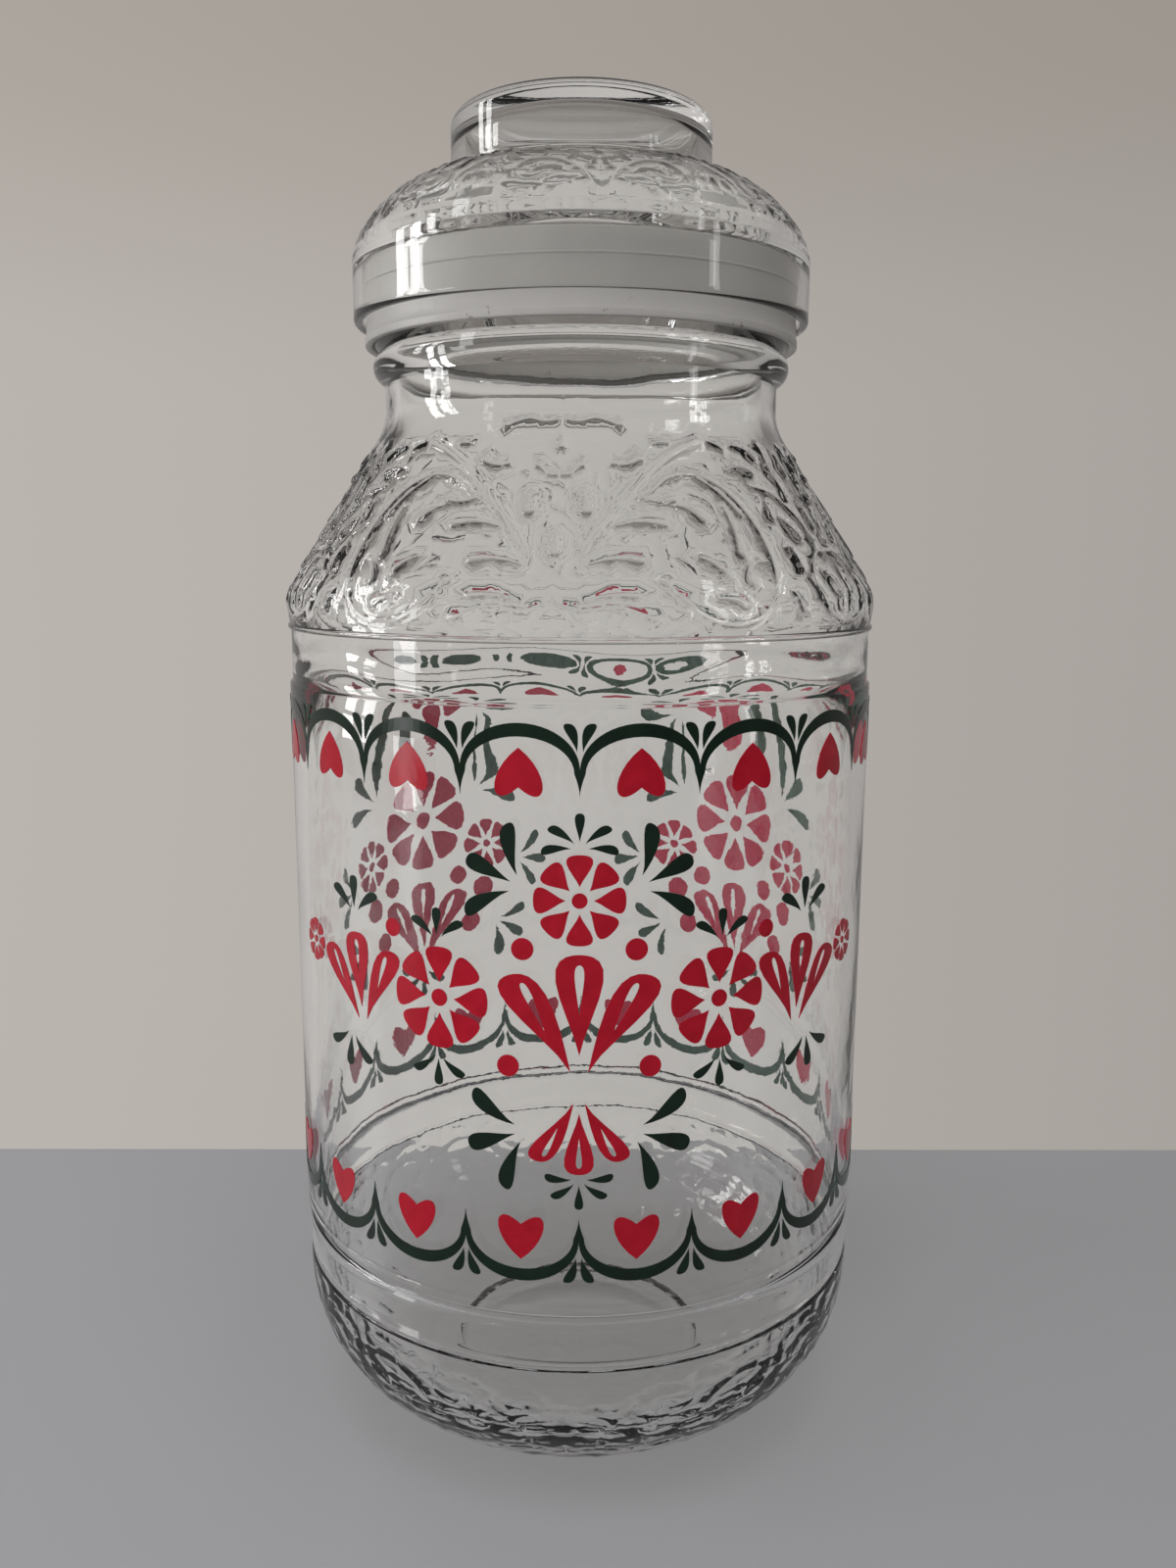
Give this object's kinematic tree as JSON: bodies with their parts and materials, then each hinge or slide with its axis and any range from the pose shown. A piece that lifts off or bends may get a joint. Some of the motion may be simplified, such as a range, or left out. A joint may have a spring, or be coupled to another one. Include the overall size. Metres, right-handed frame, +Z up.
{
  "type": "rumtopf pot",
  "caption": "Tall shouldered clear glass storage jar with a lift-off domed glass lid, plastic sealing collar and folk ornament in red and green fired enamel.",
  "frame": {"origin": "centre of the jar's foot, on the surface that it stands on", "axes": "+Z up along the jar's axis; the front of the print faces -Y"},
  "size_m": [0.1708, 0.1708, 0.372],
  "materials": {
    "clear_glass": "clear pressed and blown glass with embossed scrolls",
    "lid_glass": "clear pressed glass with embossed scrolls",
    "milky_plastic": "translucent milky moulded polyethylene",
    "red_enamel": "screen-printed glossy fired enamel, crimson",
    "green_enamel": "screen-printed glossy fired enamel, dark green"
  },
  "bodies": {
    "jar": {"jar": "clear_glass", "upper_border_hearts": "red_enamel", "lower_border_hearts": "red_enamel", "front_flowers_red": "red_enamel", "back_flowers_red": "red_enamel", "upper_border_green": "green_enamel", "lower_border_green": "green_enamel", "front_leaves_green": "green_enamel", "back_leaves_green": "green_enamel"},
    "seal": {"seal_collar": "milky_plastic"},
    "lid": {"lid": "lid_glass"}
  },
  "joints": [
    {"name": "seal_lift", "type": "slide", "parent": "jar", "child": "seal", "axis": [0, 0, 1], "range_m": [0, 0.08]},
    {"name": "lid_lift", "type": "slide", "parent": "seal", "child": "lid", "axis": [0, 0, 1], "range_m": [0, 0.1]}
  ]
}
